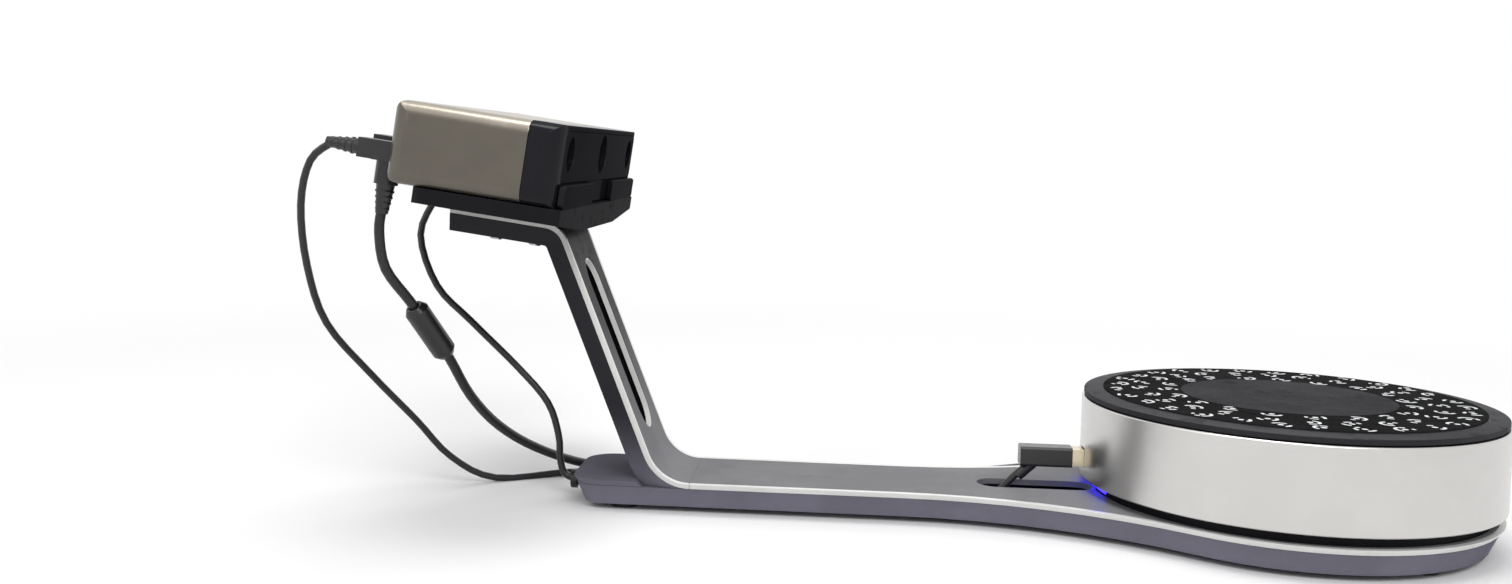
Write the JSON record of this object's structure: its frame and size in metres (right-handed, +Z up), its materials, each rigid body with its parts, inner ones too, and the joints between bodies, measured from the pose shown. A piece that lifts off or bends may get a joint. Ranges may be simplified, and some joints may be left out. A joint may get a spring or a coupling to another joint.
{
  "type": "desktop 3d scanner",
  "caption": "Desktop 3D scanner with a camera and projector head on a leaning stand, looking down at a motor-driven turntable.",
  "frame": {"origin": "on the surface the scanner stands on, under the middle of its length and width, cords left out", "axes": "+X from the scan head to the turntable, +Y away from the side the picture shows, +Z up"},
  "size_m": [0.5837, 0.3065, 0.1995],
  "materials": {
    "pan_plastic": "satin bluish-grey moulded casing",
    "panel_plastic": "fine matt grey moulding",
    "trim_plastic": "pale satin trim",
    "black_plastic": "fine matt black moulding",
    "gloss_black": "polished black",
    "black_rubber": "matt rubber",
    "screw_steel": "small machine screws",
    "ring_metal": "polished silver band",
    "bearing_steel": "ground steel",
    "plain_metal": "pressed sheet and castings",
    "board_green": "circuit board",
    "light_blue": "lit blue light guide",
    "marker_film": "printed black film with white marks",
    "gear_nylon": "white nylon",
    "pinion_brass": "brass",
    "shell_silver": "warm silver satin paint",
    "lens_glass": "coated glass",
    "button_grey": "matt grey",
    "cord_black": "soft black jacket",
    "plug_metal": "pale gold plated shell"
  },
  "bodies": {
    "stand": {"base_pan": "pan_plastic", "top_panel": "panel_plastic", "base_trim": "trim_plastic", "rear_deck": "pan_plastic", "rubber_feet": "black_rubber", "base_screws": "screw_steel", "column_channel": "pan_plastic", "column_panel": "panel_plastic", "column_trim_near": "trim_plastic", "column_trim_far": "trim_plastic", "head_tray": "black_plastic", "tray_claw_near": "gloss_black", "tray_claw_far": "gloss_black", "tray_screws": "screw_steel", "table_chassis": "black_plastic", "silver_ring": "ring_metal", "spindle_bearing": "bearing_steel", "drive_motor": "bearing_steel", "motor_bracket": "plain_metal", "table_board": "board_green", "status_light": "light_blue", "table_socket": "plain_metal", "head_shell": "shell_silver", "front_cover": "gloss_black", "front_window": "gloss_black", "rear_panel": "black_plastic", "head_chassis": "plain_metal", "projector_barrel": "black_plastic", "projector_lens": "lens_glass", "camera_near": "black_plastic", "camera_far": "black_plastic", "camera_lens_near": "lens_glass", "camera_lens_far": "lens_glass", "main_board": "board_green", "heat_sink": "plain_metal", "head_sockets": "plain_metal", "power_plug": "cord_black", "power_cord": "cord_black", "power_coil": "cord_black", "power_far_plug": "cord_black", "data_plug": "cord_black", "data_cord": "cord_black", "data_coil": "cord_black", "data_far_plug": "cord_black", "ferrite_core": "cord_black", "cord_ties": "cord_black", "lead_plug": "cord_black", "lead_cord": "cord_black", "lead_grommet": "black_rubber", "table_lead": "cord_black", "table_plug": "cord_black", "table_plug_shell": "plug_metal"},
    "platter": {"platter": "black_plastic", "marker_sheet": "marker_film", "centre_pad": "black_rubber", "platter_gear": "gear_nylon", "spindle": "bearing_steel"},
    "pinion": {"drive_pinion": "pinion_brass"},
    "button": {"power_button": "button_grey"}
  },
  "joints": [
    {"name": "platter_spin", "type": "hinge", "parent": "stand", "child": "platter", "pos_m": [0.16394, 0, 0.06], "axis": [0, 0, 1], "continuous": true},
    {"name": "pinion_spin", "type": "hinge", "parent": "stand", "child": "pinion", "pos_m": [0.16394, 0.05425, 0.058], "axis": [0, 0, 1], "continuous": true},
    {"name": "power_press", "type": "slide", "parent": "stand", "child": "button", "axis": [0.9914, 0, -0.1305], "range_m": [0, 0.0012], "stiffness_N_per_m": 400}
  ],
  "couplings": [
    {"joint": "pinion_spin", "follows": "platter_spin", "ratio": -5}
  ]
}
